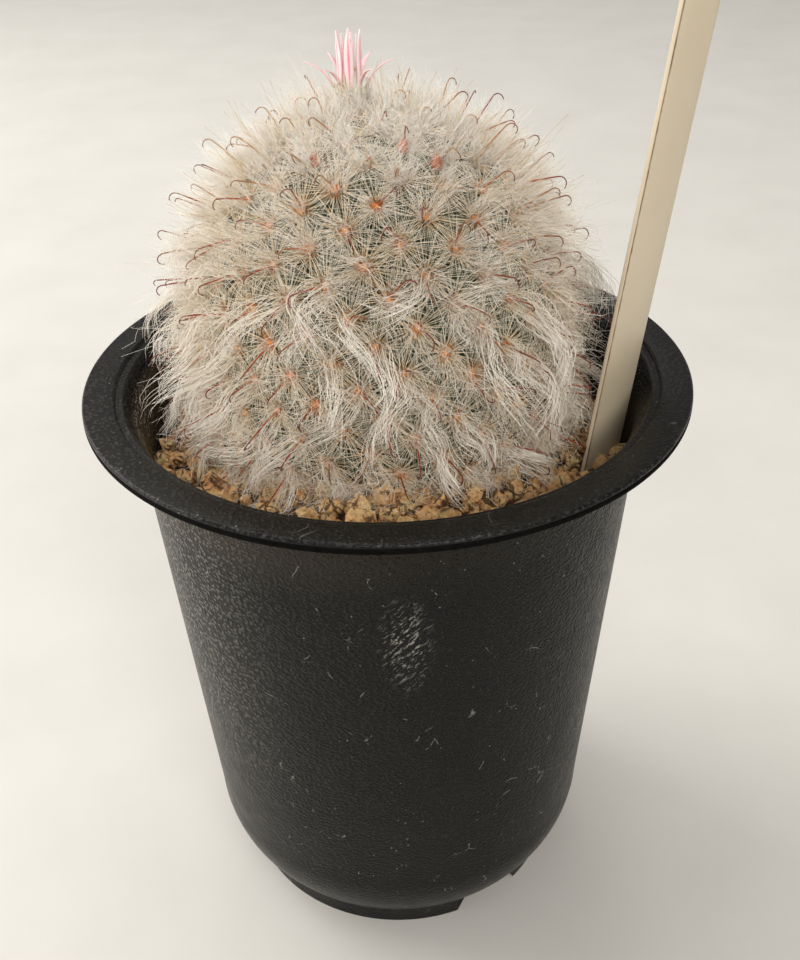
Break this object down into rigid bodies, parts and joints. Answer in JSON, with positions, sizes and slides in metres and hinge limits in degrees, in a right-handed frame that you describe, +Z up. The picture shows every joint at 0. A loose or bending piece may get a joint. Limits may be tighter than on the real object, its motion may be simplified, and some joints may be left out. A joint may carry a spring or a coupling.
{
  "type": "potted round cactus",
  "caption": "Round pincushion cactus with silky white hairs, hooked spines and a pink flower, growing in gritty soil in a tapered plastic nursery pot with a plant label.",
  "frame": {"origin": "centre of the circle that the pot's foot ring stands on, at the bottom of the part", "axes": "+Z up along the pot's axis, -Y is the front, and the label stands on the +X side"},
  "size_m": [0.0898, 0.09, 0.15],
  "materials": {
    "pot_plastic": "black, fine leather grain, soft sheen, light scuffs and dust",
    "label_plastic": "aged cream, smooth, brown dirt line along its front edge",
    "soil_granules": "dry orange-brown baked clay granules, dull and crumbly",
    "stem_skin": "matt green skin, paler at the tubercle tips",
    "white_hair": "silky white to cream hairs and fine straight bristles",
    "hooked_spine": "red-brown hooked spine, orange at its foot",
    "petal_pink": "deep pink with pale margins",
    "petal_pale": "pale pink with a deeper midstripe",
    "flower_green": "pale yellow-green",
    "pollen": "yellow"
  },
  "bodies": {
    "root": {"cactus_stem": "stem_skin", "flower_bud_1": "petal_pink", "flower_bud_2": "petal_pink", "flower_bud_3": "petal_pink", "flower_stamens": "pollen", "flower_style": "flower_green", "flower_tube": "flower_green", "inner_tepal_1": "petal_pale", "inner_tepal_2": "petal_pale", "inner_tepal_3": "petal_pale", "inner_tepal_4": "petal_pale", "inner_tepal_5": "petal_pale", "middle_tepal_1": "petal_pale", "middle_tepal_2": "petal_pale", "middle_tepal_3": "petal_pale", "middle_tepal_4": "petal_pale", "middle_tepal_5": "petal_pale", "middle_tepal_6": "petal_pale", "nursery_pot": "pot_plastic", "outer_tepal_1": "petal_pink", "outer_tepal_2": "petal_pink", "outer_tepal_3": "petal_pink", "outer_tepal_4": "petal_pink", "outer_tepal_5": "petal_pink", "outer_tepal_6": "petal_pink", "plant_label": "label_plastic", "soil_bed": "soil_granules", "soil_grain_01": "soil_granules", "soil_grain_02": "soil_granules", "soil_grain_03": "soil_granules", "soil_grain_04": "soil_granules", "soil_grain_05": "soil_granules", "soil_grain_06": "soil_granules", "soil_grain_07": "soil_granules", "soil_grain_08": "soil_granules", "soil_grain_09": "soil_granules", "soil_grain_10": "soil_granules", "soil_grain_11": "soil_granules", "soil_grain_12": "soil_granules", "spine_coat": "white_hair"}
  },
  "joints": []
}
